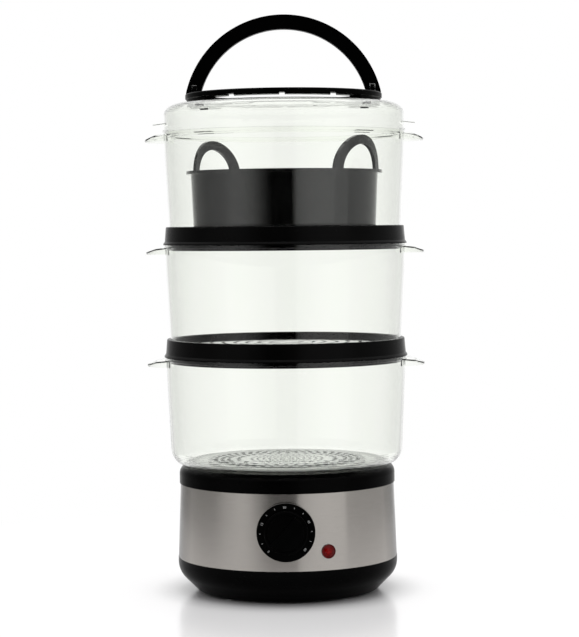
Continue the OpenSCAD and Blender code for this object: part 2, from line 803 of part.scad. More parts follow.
// Two thin hollow grips on the rim of a basket; z is the top of the rim
module basket_handles(z) {
    t = 1.5;
    tip = rim_out + grip_out;
    root_drop = 1.7;
    tip_drop = root_drop + grip_deep - 1.5;
    foot_drop = root_drop + grip_deep;
    chord_x = sqrt(pow(rim_out, 2) - pow(grip_half, 2));
    // The grip's outline is a circle through its tip and the two ends of its root
    cx = (tip * tip - chord_x * chord_x - grip_half * grip_half) / (2 * (tip - chord_x));
    plan_r = tip - cx;
    bulge = 1.1;
    for (side = [0, 180]) rotate([0, 0, side]) difference() {
        intersection() {
            translate([cx, 0, z - foot_drop]) cylinder(h = foot_drop, r = plan_r);
            rotate_extrude() polygon([
                [rim_out - wall_t / 2, z - foot_drop], [tip + 1, z - foot_drop], [tip + 1, z - tip_drop],
                [rim_out + grip_out * 0.55, z - (root_drop + tip_drop) / 2 + bulge],
                [rim_out - wall_t / 2, z - root_drop]]);
        }
        intersection() {
            translate([cx, 0, z - foot_drop - 1]) cylinder(h = foot_drop, r = plan_r - t);
            rotate_extrude() polygon([
                [rim_out, z - foot_drop - 1], [tip, z - foot_drop - 1], [tip, z - tip_drop - t],
                [rim_out + grip_out * 0.55, z - (root_drop + tip_drop) / 2 + bulge - t],
                [rim_out, z - root_drop - t]]);
        }
        translate([0, 0, z - foot_drop - 1]) cylinder(h = foot_drop + 2, r = rim_out - wall_t / 2);
    }
}

module bowl_section() {
    z = rim_z(1);
    foot_out = rim_out - bowl_draft;
    c = foot_out - bowl_round;
    zc = z_seat + bowl_round;
    in_round = bowl_round - bowl_floor_t;
    hole_r = insert_r - plate_seat_w;
    rib_h = 2.5;
    polygon(concat(
        [[hole_r, z_seat], [rib_out - rib_t, z_seat], [rib_out - rib_t, z_seat - rib_h],
         [rib_out, z_seat - rib_h], [rib_out, z_seat]],
        arc(c, zc, bowl_round, -90, 0, 12),
        [[rim_out, z - bead_h - bead_run], [rim_out + bead_t, z - bead_h], [rim_out + bead_t, z],
         [rim_out - wall_t, z]],
        arc(c, zc, in_round, 0, -90, 12),
        [[hole_r, z_seat + bowl_floor_t]]));
}

module basket_1_bowl() {
    color(clear) union() {
        rotate_extrude() bowl_section();
        basket_handles(rim_z(1));
    }
}

// Perforated clear insert: three rows of large holes, one inner row, and fine holes in the middle
module basket_1_grid() {
    z0 = z_seat + free_gap;
    z1 = z_seat + bowl_floor_t;
    r = insert_r;
    row = 6;
    edge = 3;
    inner_row_in = 21.5;
    outer_row_r = r - plate_seat_w - edge;
    inner_row_r = outer_row_r - inner_row_in;
    outer_pitch = 9.6;
    inner_pitch = 9;
    outer_count = round(2 * PI * outer_row_r / outer_pitch);
    inner_count = round(2 * PI * inner_row_r / inner_pitch);
    fine_row = 5.6;
    bare_ring = 8;
    fine_rows = floor((inner_row_r - bare_ring) / fine_row);
    color(clear) difference() {
        union() {
            cylinder_from(z0, z1 + insert_t, 2 * (r - plate_seat_w - close_gap));
            cylinder_from(z1, z1 + insert_t, 2 * r);
        }
        for (k = [0:2]) ring_of(outer_count, outer_row_r - k * row, k * 180 / outer_count)
            cylinder_from(z0 - 1, z1 + insert_t + 1, hole_d);
        ring_of(inner_count, inner_row_r) cylinder_from(z0 - 1, z1 + insert_t + 1, hole_d);
        for (k = [1:fine_rows]) ring_of(6 * k, k * fine_row)
            cylinder_from(z0 - 1, z1 + insert_t + 1, fine_hole_d);
    }
}

// Black ring between two tiers, with the floor of the upper one sunk in it; z is the rim of the basket below
module tier_ring(z) {
    top = z + ring_h;
    groove_out = foot_wall_r + close_gap;
    groove_in = foot_wall_r - wall_t - wall_slope * groove_h - close_gap;
    plate_r = floor_r + close_gap;
    step_edge = 0.3;
    z_plate_seat = top - floor_drop - floor_t;
    color(black) rotate_extrude() polygon(concat(
        [[skirt_r - skirt_t, z - skirt_h], [skirt_r - skirt_edge, z - skirt_h],
         [skirt_r, z - skirt_h + skirt_edge], [skirt_r, z],
         [rim_out + lip_out, z], [rim_out + lip_out, z + lip_h],
         [ring_foot_r + step_edge, z + ring_step_h - step_edge], [ring_foot_r, z + ring_step_h]],
        arc(ring_top_r - ring_edge, top - ring_edge, ring_edge, 0, 90, 4),
        [[groove_out, top], [groove_out, top - groove_h], [groove_in, top - groove_h],
         [groove_in, top - rib_drop], [plate_r, top - rib_drop], [plate_r, z_plate_seat],
         [plate_r - plate_seat_w, z_plate_seat], [plate_r - plate_seat_w, z_plate_seat - ledge_t],
         [groove_in, z_plate_seat - ledge_t], [groove_in, top - groove_h - ledge_t],
         [skirt_r - skirt_t, top - groove_h - ledge_t]]));
}

module tier_ring_2() { tier_ring(rim_z(1)); }

module tier_ring_3() { tier_ring(rim_z(2)); }

// Perforated floor plate of an upper tier, with rows of slots that follow its circle
module floor_grid(z) {
    top = z + ring_h - floor_drop;
    slot_w = 3;
    row_pitch = 11;
    first_row_r = 14;
    rows = floor((floor_r - plate_seat_w - first_row_r - slot_w) / row_pitch);
    bridge = 5;
    slot_pitch = 22;
    color(black) difference() {
        cylinder_from(top - floor_t, top, 2 * floor_r);
        for (k = [0:rows]) {
            r = first_row_r + k * row_pitch;
            count = round(2 * PI * r / slot_pitch);
            span = 360 / count - bridge / r * 180 / PI;
            for (i = [0:count - 1]) rotate([0, 0, (i + k / 2) * 360 / count])
                rotate_extrude(angle = span) translate([r, top - floor_t - 1])
                    square([slot_w, floor_t + 2]);
        }
    }
}

module floor_grid_2() { floor_grid(rim_z(1)); }

module floor_grid_3() { floor_grid(rim_z(2)); }

// Clear wall of an upper tier, open below and standing in its ring; z is the rim of the tier below
module basket_wall(z) {
    foot = z + ring_h - groove_h;
    top = z + tier_h;
    foot_r = foot_wall_r - wall_slope * groove_h;
    color(clear) union() {
        rotate_extrude() polygon([
            [foot_r, foot], [rim_out, top - bead_h - bead_run], [rim_out + bead_t, top - bead_h],
            [rim_out + bead_t, top], [rim_out - wall_t, top], [foot_r - wall_t, foot]]);
        basket_handles(top);
    }
}

module basket_2_wall() { basket_wall(rim_z(1)); }

module basket_3_wall() { basket_wall(rim_z(2)); }

// ---------- rice bowl ----------

// A round arch of width w and height h, standing on its feet
module arch(w, h, band) {
    inner = w / 2 - band;
    difference() {
        union() {
            intersection() {
                translate([0, h - w / 2]) circle(d = w);
                translate([-w / 2, h - w / 2]) square([w, w / 2]);
            }
            translate([-w / 2, -1]) square([w, max(h - w / 2 + 1 + join, 1)]);
        }
        translate([0, h - band - inner]) circle(r = inner);
        translate([-inner, -2]) square([2 * inner, max(h - band - inner + 2, 1)]);
    }
}

// A loop that stands on the rim and follows its curve
module lifting_loop() {
    intersection() {
        difference() {
            translate([0, 0, -join]) cylinder(h = loop_h + join, r = loop_r + loop_t / 2);
            translate([0, 0, -1]) cylinder(h = loop_h + 2, r = loop_r - loop_t / 2);
        }
        rotate([90, 0, 0]) linear_extrude(height = 2 * loop_r) arch(loop_w, loop_h, loop_band);
    }
}

module rice_bowl() {
    foot_round = 4;
    foot_r = rice_d / 2 - rice_draft;
    in_r = rice_d / 2 - rice_t;
    color(black) {
        rotate_extrude() polygon(concat(
            [[0, z_rice]],
            arc(foot_r - foot_round, z_rice + foot_round, foot_round, -90, 0, 6),
            [[rice_d / 2, z_rice_rim - rice_rim_t], [rice_rim_r, z_rice_rim - rice_rim_t],
             [rice_rim_r, z_rice_rim], [in_r, z_rice_rim]],
            arc(foot_r - foot_round, z_rice + foot_round, foot_round - rice_t, 0, -90, 6),
            [[0, z_rice + rice_t]]));
        for (a = [0, 180]) rotate([0, 0, loop_angle + a]) translate([0, 0, z_rice_rim]) lifting_loop();
    }
}

// ---------- lid and handle ----------

module lid_section() {
    c = lid_shoulder_r - lid_round;
    zs = z_lid + lid_side_h;
    lip_t = wall_t;
    steps = 6;
    function dome(i, drop) =
        [dome_r * (1 - i / steps), z_lid_top - drop + lid_rise * (1 - pow(1 - i / steps, 2))];
    polygon(concat(
        [[skirt_r - skirt_t, z_lid - skirt_h], [skirt_r - skirt_edge, z_lid - skirt_h],
         [skirt_r, z_lid - skirt_h + skirt_edge], [skirt_r, z_lid], [lid_lip_r, z_lid],
         [lid_lip_r, z_lid + lip_t], [lid_shoulder_r, z_lid + lip_t]],
        arc(c, zs, lid_round, 0, 90, 10, lid_crown),
        [for (i = [0:steps]) dome(i, 0)],
        [for (i = [steps:-1:0]) dome(i, wall_t)],
        arc(c, zs, lid_round - wall_t, 90, 0, 10, lid_crown - wall_t),
        [[lid_shoulder_r - wall_t, z_lid + lip_t], [skirt_r - skirt_t, z_lid + lip_t]]));
}

module lid_tabs() {
    tab_t = 1.5;
    plan_r = 30;
    tip = rim_out + lid_tab_out;
    for (side = [0, 180]) rotate([0, 0, side]) difference() {
        translate([tip - plan_r, 0, z_lid + lid_tab_z - tab_t / 2]) cylinder(h = tab_t, r = plan_r);
        translate([0, 0, z_lid]) cylinder(h = lid_side_h, r = lid_shoulder_r - wall_t / 2);
    }
}

module lid() {
    vent_r = 42;
    z_under = z_lid_top - 2 * wall_t;
    z_over = z_lid_top + lid_rise + wall_t;
    color(clear) difference() {
        union() {
            rotate_extrude() lid_section();
            lid_tabs();
        }
        ring_of(4, vent_r, 45) cylinder_from(z_under, z_over, vent_d);
        rivet_places() cylinder_from(z_under, z_over, rivet_d + 2 * close_gap);
    }
}

module rivet_places() {
    for (side = [0, 180]) rotate([0, 0, side]) for (s = [-1, 1]) rotate([0, 0, s * rivet_angle])
        translate([rivet_r, 0, 0]) children();
}

module handle_ring() {
    notch_w = 5;
    notch_h = 1.6;
    notch_x = carry_r / 2;
    in_r = carry_r - carry_ring_w;
    bevel = 1;
    foot_inset = 1.25;
    color(black) difference() {
        union() {
            rotate_extrude() polygon([
                [in_r, z_carry], [carry_r - bevel, z_carry], [carry_r, z_carry + bevel],
                [carry_r, z_carry_top - bevel], [carry_r - bevel, z_carry_top],
                [in_r + bevel, z_carry_top], [in_r, z_carry_top - bevel]]);
            for (side = [0, 180]) rotate([0, 0, side - carry_foot_angle])
                rotate_extrude(angle = 2 * carry_foot_angle) translate([in_r + foot_inset, z_lid_top])
                    square([carry_ring_w - 2 * foot_inset, carry_foot_h + join]);
            for (s = [-1, 1]) translate([s * lug_x, 0, 0]) lug();
        }
        for (x = [-notch_x, 0, notch_x]) translate([x - notch_w / 2, -carry_r, z_carry - 1])
            cube([notch_w, 2 * carry_r, notch_h + 1]);
        rivet_places() cylinder(h = z_carry_top - rivet_cap + join, d = rivet_d);
        translate([-carry_r, 0, z_bail_axis]) rotate([0, 90, 0])
            cylinder(h = 2 * carry_r, d = pin_d + 2 * turn_gap);
    }
}

module lug() {
    translate([-lug_t / 2, -bail_t / 2, z_carry_top - join])
        cube([lug_t, bail_t, z_bail_axis - z_carry_top + join]);
    translate([-lug_t / 2, 0, z_bail_axis]) rotate([0, 90, 0]) cylinder(h = lug_t, d = bail_t);
}

module ring_rivets() {
    head_t = 1.2;
    head_d = 8;
    color(black) rivet_places() {
        translate([0, 0, z_lid_top - wall_t - head_t]) cylinder(h = head_t, d = head_d);
        translate([0, 0, z_lid_top - wall_t - join])
            cylinder(h = z_carry_top - rivet_cap - z_lid_top + wall_t, d = rivet_d);
    }
}

// A flat arch whose forked, rounded ends straddle the lugs of the ring
module bail_handle() {
    slot = lug_t + 2 * fork_gap;
    color(black) difference() {
        intersection() {
            translate([0, bail_t / 2, z_bail_centre]) rotate([90, 0, 0]) difference() {
                cylinder(h = bail_t, r = bail_r);
                translate([0, 0, -1]) cylinder(h = bail_t + 2, r = bail_r - bail_w);
            }
            union() {
                translate([-bail_r - 1, -bail_t, z_bail_axis]) cube([2 * bail_r + 2, 2 * bail_t, bail_r]);
                translate([-bail_r - 1, 0, z_bail_axis]) rotate([0, 90, 0])
                    cylinder(h = 2 * bail_r + 2, d = bail_t);
            }
        }
        for (s = [-1, 1]) translate([s * lug_x - slot / 2, -bail_t, z_bail_axis - bail_t])
            cube([slot, 2 * bail_t, bail_t + bail_t / 2 + fork_gap]);
        translate([-bail_r, 0, z_bail_axis]) rotate([0, 90, 0]) cylinder(h = 2 * bail_r, d = pin_d);
    }
}

module bail_pins() {
    half = (bail_w - 2) / 2;
    color(steel) for (s = [-1, 1]) translate([s * lug_x - half, 0, z_bail_axis]) rotate([0, 90, 0])
        cylinder(h = 2 * half, d = pin_d);
}

rubber_feet();
bottom_cover();
lower_housing();
steel_band();
water_tank();
heating_plate();
element_seal();
heating_element();
element_bracket();
bracket_screws();
thermostat();
thermal_fuse();
terminal_block();
inner_leads();
timer_body();
timer_bell();
timer_screws();
dial_plate();
lamp_lens();
neon_lamp();
cord_gland();
base_screws();
timer_knob();
timer_shaft();
steam_ring();
drip_tray();
basket_1_bowl();
basket_1_grid();
tier_ring_2();
floor_grid_2();
basket_2_wall();
tier_ring_3();
floor_grid_3();
basket_3_wall();
rice_bowl();
lid();
handle_ring();
ring_rivets();
bail_handle();
bail_pins();
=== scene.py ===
"""Looks of the electric food steamer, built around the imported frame. Metres, +Z up, the timer faces -Y."""

import math

import bmesh
import bpy
from mathutils import Matrix, Vector


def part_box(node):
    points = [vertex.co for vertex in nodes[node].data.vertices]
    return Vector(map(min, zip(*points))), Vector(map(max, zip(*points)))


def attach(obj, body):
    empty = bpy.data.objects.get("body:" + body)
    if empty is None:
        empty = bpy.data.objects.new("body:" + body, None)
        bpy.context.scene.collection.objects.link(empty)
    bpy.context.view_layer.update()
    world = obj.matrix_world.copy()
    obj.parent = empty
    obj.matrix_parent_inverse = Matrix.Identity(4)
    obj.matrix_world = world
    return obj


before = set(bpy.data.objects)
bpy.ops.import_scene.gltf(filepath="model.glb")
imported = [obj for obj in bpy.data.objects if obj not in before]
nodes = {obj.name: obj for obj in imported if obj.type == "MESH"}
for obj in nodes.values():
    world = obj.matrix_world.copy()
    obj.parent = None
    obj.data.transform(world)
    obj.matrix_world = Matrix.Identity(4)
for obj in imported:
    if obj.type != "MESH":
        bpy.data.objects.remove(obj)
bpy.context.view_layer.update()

MM = 0.001

# The camera: where it stands, seen from the object's axis, and how it is turned.
# The photograph's height and the length of the lens are in its pixels, the sensor's height in millimetres.
FRAME_H = 637
FOCAL_PIXELS = 2054.6
CAMERA_DISTANCE = 1.943
CAMERA_HEIGHT = 0.344
CAMERA_ROUND = math.radians(0.9)
CAMERA_PITCH = math.radians(2.58)
CAMERA_YAW = math.radians(0.108)
CAMERA_ROLL = math.radians(-0.55)
SENSOR = 36.0

# The floor: its size, how much light it seems to give off, within what distance of the object a painted
# shadow gives less of it, and where it fades into the backdrop
FLOOR_RADIUS = 0.6
FLOOR_SIDES = 96
GLOW = 0.28
PAINTED_SHADOW_REACH = 0.045
FADE_START, FADE_END = 0.26, 0.55

# The studio's brightness by degrees round from where the camera stands
ROUND = [
    (-180, 1.05), (-166, 0.95), (-152, 0.55), (-136, 0.34), (-102, 0.27), (-84, 0.28),
    (-66, 0.52), (-50, 0.66), (-40, 0.58), (-30, 0.34), (-20, 0.08), (-14, 0.0),
    (10, 0.0), (12.5, 0.42), (17, 0.60), (30, 0.74), (45, 0.79), (64, 0.74),
    (67, 0.48), (80, 0.44), (130, 0.42), (152, 0.55), (166, 0.95), (180, 1.05),
]
# How it blends into the light overhead, by the height of the direction, and how bright that is
ABOVE = [(0.45, 0.0), (0.75, 1.0)]
OVERHEAD = 1.1


def grey(level):
    """A grey as a colour."""
    return (level, level, level)


# ---------- materials ----------


class Tree:
    """A node tree under construction, with short calls for the nodes used here."""

    def __init__(self, tree):
        self.tree = tree

    def add(self, kind, **values):
        """A new node with the attributes given."""
        node = self.tree.nodes.new(kind)
        for key, value in values.items():
            setattr(node, key, value)
        return node

    def link(self, source, target):
        self.tree.links.new(source, target)

    def math(self, operation, a, b):
        """A calculation with two values, each a float or another node's output."""
        node = self.add("ShaderNodeMath", operation=operation)
        for socket, value in zip(node.inputs, (a, b)):
            if isinstance(value, float):
                socket.default_value = value
            else:
                self.link(value, socket)
        return node.outputs[0]

    def stops(self, fac, stops):
        """A ramp through stops of position and colour."""
        node = self.add("ShaderNodeValToRGB")
        ends = node.color_ramp.elements
        while len(ends) < len(stops):
            ends.new(0.5)
        for end, (position, colour) in zip(ends, stops):
            end.position = position
            end.color = (*colour, 1)
        self.link(fac, node.inputs["Fac"])
        return node.outputs["Color"]

    def ramp(self, fac, low, high, start=0.3, end=0.7):
        """A colour that runs from low to high as fac runs from start to end."""
        return self.stops(fac, [(start, low), (end, high)])

    def mix_shaders(self, fac, first, second):
        """The first shader where fac is 0, the second where it is 1."""
        node = self.add("ShaderNodeMixShader")
        self.link(fac, node.inputs["Fac"])
        self.link(first, node.inputs[1])
        self.link(second, node.inputs[2])
        return node.outputs[0]


class Nodes(Tree):
    """A material under construction."""

    def __init__(self, name):
        self.material = bpy.data.materials.new(name)
        self.material.use_nodes = True
        super().__init__(self.material.node_tree)
        self.shader = self.tree.nodes["Principled BSDF"]
        self.output = self.tree.nodes["Material Output"]

    def set(self, **values):
        """Sets inputs of the main shader. An underscore stands for a space in an input's name."""
        for key, value in values.items():
            self.shader.inputs[key.replace("_", " ")].default_value = value

    def colour(self, source):
        self.link(source, self.shader.inputs["Base Color"])

    def surface(self, source):
        self.link(source, self.output.inputs["Surface"])

    def place(self):
        """Object coordinates in metres."""
        return self.add("ShaderNodeTexCoord").outputs["Object"]

    def stretched(self, vector, scale):
        mapping = self.add("ShaderNodeMapping")
        mapping.inputs["Scale"].default_value = scale
        self.link(vector, mapping.inputs["Vector"])
        return mapping.outputs["Vector"]

    def coordinates(self, scale=(1, 1, 1)):
        """Object coordinates, stretched by scale."""
        return self.stretched(self.place(), scale)

    def around(self, turns, height):
        """Coordinates that run round the Z axis and up it, for patterns that follow a drum."""
        split = self.add("ShaderNodeSeparateXYZ")
        join = self.add("ShaderNodeCombineXYZ")
        self.link(self.place(), split.inputs[0])
        self.link(self.math("ARCTAN2", split.outputs["Y"], split.outputs["X"]), join.inputs["X"])
        self.link(split.outputs["Z"], join.inputs["Y"])
        return self.stretched(join.outputs[0], (turns, height, 1))

    def mix_colours(self, a, b, factor, blend_type="MIX"):
        node = self.add("ShaderNodeMix", data_type="RGBA", blend_type=blend_type)
        node.inputs["Factor"].default_value = factor
        self.link(a, node.inputs["A"])
        self.link(b, node.inputs["B"])
        return node.outputs["Result"]

    def noise(self, vector, scale, detail, roughness=0.5):
        node = self.add("ShaderNodeTexNoise")
        node.inputs["Scale"].default_value = scale
        node.inputs["Detail"].default_value = detail
        node.inputs["Roughness"].default_value = roughness
        self.link(vector, node.inputs["Vector"])
        return node.outputs["Fac"]

    def rough(self, fac, low, high):
        """Roughness that runs from low to high with fac."""
        self.link(self.ramp(fac, grey(low), grey(high)), self.shader.inputs["Roughness"])

    def bump(self, fac, distance, strength):
        """Bumps that follow fac, up to distance high in metres and weakened by strength."""
        node = self.add("ShaderNodeBump")
        node.inputs["Distance"].default_value = distance
        node.inputs["Strength"].default_value = strength
        self.link(fac, node.inputs["Height"])
        self.link(node.outputs["Normal"], self.shader.inputs["Normal"])


def moulded(name, dark, light, smooth, dull, grain=0.00002, grain_scale=2200, shine=0.5):
    """Moulded plastic: a faint cloud in its colour and gloss, and the fine grain of the tool."""
    m = Nodes(name)
    m.colour(m.ramp(m.noise(m.coordinates(), scale=26, detail=4), dark, light))
    m.rough(m.noise(m.coordinates(), scale=90, detail=4), smooth, dull)
    m.bump(m.noise(m.coordinates(), grain_scale, detail=2), grain, strength=0.6)
    m.set(Specular_IOR_Level=shine)
    return m.material


def brushed_steel():
    """Steel sheet brushed round the drum: long fine scratches that spread a reflection up and down.

    Painted shade makes its colour darker where it turns away from the eye."""
    m = Nodes("brushed_steel")
    scratches = m.noise(m.around(turns=6, height=5200), scale=1.0, detail=5, roughness=0.65)
    clouds = m.noise(m.coordinates(), scale=18, detail=3)
    brushed = m.ramp(scratches, (0.44, 0.415, 0.385), (0.54, 0.515, 0.48))
    clouded = m.ramp(clouds, (0.47, 0.445, 0.415), (0.52, 0.495, 0.465))
    turned_away = m.add("ShaderNodeLayerWeight").outputs["Facing"]
    # painted shade: the colour darkens where the sheet turns away from the eye
    painted_edge_shade = m.ramp(turned_away, grey(1), grey(0.12), start=0.55, end=0.9)
    sheet = m.mix_colours(brushed, clouded, factor=0.35)
    m.colour(m.mix_colours(sheet, painted_edge_shade, factor=1.0, blend_type="MULTIPLY"))
    m.rough(scratches, 0.17, 0.24)
    m.bump(scratches, 0.000004, strength=0.3)
    m.set(Metallic=1.0, Anisotropic=0.85, Anisotropic_Rotation=0.25)
    tangent = m.add("ShaderNodeTangent", direction_type="RADIAL", axis="Z")
    m.link(tangent.outputs[0], m.shader.inputs["Tangent"])
    return m.material


def see_through(name, ior):
    """Clear moulded plastic with the faint waviness of the mould. Shadow rays go through it unbent.

    Returns the waviness too, for the callers to tint it by."""
    m = Nodes(name)
    m.set(IOR=ior, Transmission_Weight=1.0)
    waves = m.noise(m.coordinates((1, 1, 0.4)), scale=34, detail=2)
    m.rough(m.noise(m.coordinates(), scale=160, detail=3), 0.0, 0.008)
    m.bump(waves, 0.00003, strength=0.15)
    unbent = m.add("ShaderNodeBsdfTransparent")
    unbent.inputs["Color"].default_value = (0.96, 0.97, 0.96, 1)
    path = m.add("ShaderNodeLightPath")
    m.surface(m.mix_shaders(path.outputs["Is Shadow Ray"], m.shader.outputs[0], unbent.outputs[0]))
    return m, waves


def clear_plastic():
    """The baskets' plastic, with a faint green and yellow tint."""
    m, waves = see_through("clear_plastic", ior=1.42)
    m.colour(m.ramp(waves, (0.984, 1.0, 0.966), (0.991, 1.0, 0.975)))
    return m.material


def insert_plastic():
    """The insert's plastic, clearer in the middle, where the holes are fine, than round it."""
    m, _ = see_through("insert_plastic", ior=1.6)
    flat = m.add("ShaderNodeVectorMath", operation="MULTIPLY")
    flat.inputs[1].default_value = (1, 1, 0)
    away = m.add("ShaderNodeVectorMath", operation="LENGTH")
    m.link(m.place(), flat.inputs[0])
    m.link(flat.outputs[0], away.inputs[0])
    outer = (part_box("basket_1_grid")[1].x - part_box("basket_1_grid")[0].x) / 2
    clear_to, grey_from = 0.54 * outer, 0.62 * outer
    m.colour(m.ramp(away.outputs["Value"], (0.86, 0.88, 0.85), (0.52, 0.54, 0.52), clear_to, grey_from))
    return m.material


def red_lens():
    """Red lens with facets that spread the lamp's light; its colour holds a painted glint near the facets'
    borders and painted shade towards its rim.
    """
    m = Nodes("red_lens")
    cells = m.add("ShaderNodeTexVoronoi", feature="DISTANCE_TO_EDGE")
    cells.inputs["Scale"].default_value = 620
    m.link(m.coordinates(), cells.inputs["Vector"])
    facets = cells.outputs["Distance"]
    low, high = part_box("lamp_lens")
    away = m.add("ShaderNodeVectorMath", operation="DISTANCE")
    m.link(m.place(), away.inputs[0])
    away.inputs[1].default_value = ((low.x + high.x) / 2, low.y, (low.z + high.z) / 2)
    # painted glint: the colour is lighter near the facets' borders
    painted_facet_glints = m.ramp(facets, (0.42, 0.004, 0.004), (0.16, 0.0, 0.0), start=0.0, end=0.3)
    # painted shade: the colour darkens towards the lens's rim
    shade = m.ramp(away.outputs["Value"], grey(1), grey(0.22), start=0.001, end=0.0062)
    m.colour(m.mix_colours(painted_facet_glints, shade, factor=1.0, blend_type="MULTIPLY"))
    m.rough(facets, 0.1, 0.2)
    m.bump(facets, 0.0003, strength=0.5)
    m.set(Specular_IOR_Level=0.15)
    return m.material


def metal(name, dark, light, smooth, dull):
    """Bare metal, clouded in its colour and gloss."""
    m = Nodes(name)
    cloud = m.noise(m.coordinates(), scale=120, detail=5)
    m.colour(m.ramp(cloud, dark, light))
    m.rough(m.noise(m.coordinates(), scale=360, detail=3), smooth, dull)
    m.bump(cloud, 0.00003, strength=0.4)
    m.set(Metallic=1.0)
    return m.material


def printed_white():
    """The dial's print, a little worn."""
    m = Nodes("printed_white")
    worn = m.noise(m.coordinates(), scale=1500, detail=3)
    m.colour(m.ramp(worn, (0.48, 0.49, 0.49), (0.72, 0.73, 0.73)))
    m.rough(worn, 0.5, 0.7)
    return m.material


# After the two colours come the least and the most roughness
MATERIALS = {
    "gloss_black": moulded("gloss_black", grey(0.0006), grey(0.0014), 0.18, 0.26,
                           grain=0.00001, grain_scale=1500, shine=0.03),
    "ring_black": moulded("ring_black", grey(0.0012), grey(0.0026), 0.20, 0.28,
                          grain=0.00001, grain_scale=1500, shine=0.06),
    "matte_black": moulded("matte_black", grey(0.0006), grey(0.0014), 0.26, 0.36, shine=0.022),
    "bowl_black": moulded("bowl_black", grey(0.0015), grey(0.004), 0.03, 0.05,
                          grain=0.000004, grain_scale=900, shine=0.65),
    "steel": brushed_steel(),
    "screw_steel": metal("screw_steel", (0.5, 0.5, 0.52), (0.7, 0.7, 0.72), 0.25, 0.4),
    "cast_aluminium": metal("cast_aluminium", (0.52, 0.52, 0.53), (0.72, 0.72, 0.72), 0.35, 0.55),
    "bell_brass": metal("bell_brass", (0.62, 0.44, 0.16), (0.8, 0.6, 0.28), 0.2, 0.35),
    "silicone": moulded("silicone", (0.42, 0.07, 0.04), (0.52, 0.1, 0.06), 0.5, 0.65),
    "foot_rubber": moulded("foot_rubber", grey(0.012), grey(0.022), 0.7, 0.85,
                           grain=0.00006, grain_scale=1200),
    "clear_plastic": clear_plastic(),
    "insert_plastic": insert_plastic(),
    "red_lens": red_lens(),
    "neon_holder": moulded("neon_holder", (0.62, 0.5, 0.38), (0.75, 0.62, 0.5), 0.35, 0.5),
    "white_plastic": moulded("white_plastic", (0.72, 0.72, 0.69), (0.8, 0.8, 0.77), 0.3, 0.4),
    "cream_plastic": moulded("cream_plastic", (0.6, 0.58, 0.5), (0.72, 0.7, 0.62), 0.4, 0.55),
    "wire": moulded("wire", (0.3, 0.05, 0.03), (0.42, 0.08, 0.05), 0.4, 0.55),
    "printed_white": printed_white(),
}

FINISH = {
    "rubber_feet": "foot_rubber", "bottom_cover": "matte_black", "lower_housing": "gloss_black",
    "steel_band": "steel", "water_tank": "gloss_black", "heating_plate": "cast_aluminium",
    "element_seal": "silicone", "heating_element": "cast_aluminium", "element_bracket": "screw_steel",
    "bracket_screws": "screw_steel", "thermostat": "cream_plastic", "thermal_fuse": "cream_plastic",
    "terminal_block": "cream_plastic", "inner_leads": "wire", "timer_body": "cream_plastic",
    "timer_bell": "bell_brass", "timer_screws": "screw_steel", "dial_plate": "matte_black",
    "lamp_lens": "red_lens", "neon_lamp": "neon_holder", "cord_gland": "matte_black",
    "base_screws": "screw_steel", "timer_knob": "matte_black", "timer_shaft": "screw_steel",
    "steam_ring": "cream_plastic", "drip_tray": "white_plastic", "basket_1_bowl": "clear_plastic",
    "basket_1_grid": "insert_plastic", "tier_ring_2": "ring_black", "floor_grid_2": "bowl_black",
    "basket_2_wall": "clear_plastic", "tier_ring_3": "ring_black", "floor_grid_3": "bowl_black",
    "basket_3_wall": "clear_plastic", "rice_bowl": "bowl_black", "lid": "clear_plastic",
    "handle_ring": "matte_black", "ring_rivets": "matte_black", "bail_handle": "matte_black",
    "bail_pins": "screw_steel",
}


def dress(node, finish):
    """Gives a node of the frame its finish."""
    materials = nodes[node].data.materials
    if not materials:
        materials.append(None)
    for slot in nodes[node].material_slots:
        slot.link = "OBJECT"
        slot.material = MATERIALS[finish]


# ---------- the marks on the dial ----------


def number(text, height, lift):
    """A number of the dial as a mesh, flat round the origin."""
    label = bpy.data.curves.new("number", "FONT")
    label.body = text
    label.size = height
    label.align_x, label.align_y = "CENTER", "CENTER"
    label.extrude = lift
    label.resolution_u = 3
    carrier = bpy.data.objects.new("number", label)
    part = bmesh.new()
    part.from_mesh(carrier.to_mesh())
    carrier.to_mesh_clear()
    bpy.data.objects.remove(carrier)
    return part


def dial_marks():
    """Minute marks and numbers, as thin raised print on the dial plate."""
    low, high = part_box("dial_plate")
    centre = Vector(((low.x + high.x) / 2, low.y, (low.z + high.z) / 2))
    radius = (high.x - low.x) / 2
    number_out, tick_out = 0.86 * radius, 0.88 * radius
    lift = 0.04 * MM
    tick_w, tick_h = 0.35 * MM, 1.5 * MM
    number_h = 3.0 * MM
    off_angle = -137
    step_angle = 22.4
    marks_count = 13
    marks_per_number = 3
    minutes_per_mark = 5
    mesh = bpy.data.meshes.new("dial_marks")
    bm = bmesh.new()
    for i in range(marks_count):
        turn = Matrix.Rotation(-math.radians(off_angle + i * step_angle), 4, "Z")
        if i % marks_per_number == 0:
            part = number(str(i * minutes_per_mark), number_h, lift)
            out = number_out
        else:
            part = bmesh.new()
            bmesh.ops.create_cube(part, size=1)
            bmesh.ops.scale(part, vec=(tick_w, tick_h, 2 * lift), verts=part.verts)
            out = tick_out
        part.transform(turn @ Matrix.Translation((0, out, 0)))
        piece = bpy.data.meshes.new("part")
        part.to_mesh(piece)
        part.free()
        bm.from_mesh(piece)
        bpy.data.meshes.remove(piece)
    bm.transform(Matrix.Translation(centre) @ Matrix.Rotation(math.radians(90), 4, "X"))
    bm.to_mesh(mesh)
    bm.free()
    marks = bpy.data.objects.new("dial_marks", mesh)
    bpy.context.scene.collection.objects.link(marks)
    mesh.materials.append(MATERIALS["printed_white"])
    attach(marks, "base")


# ---------- floor, surround and camera ----------


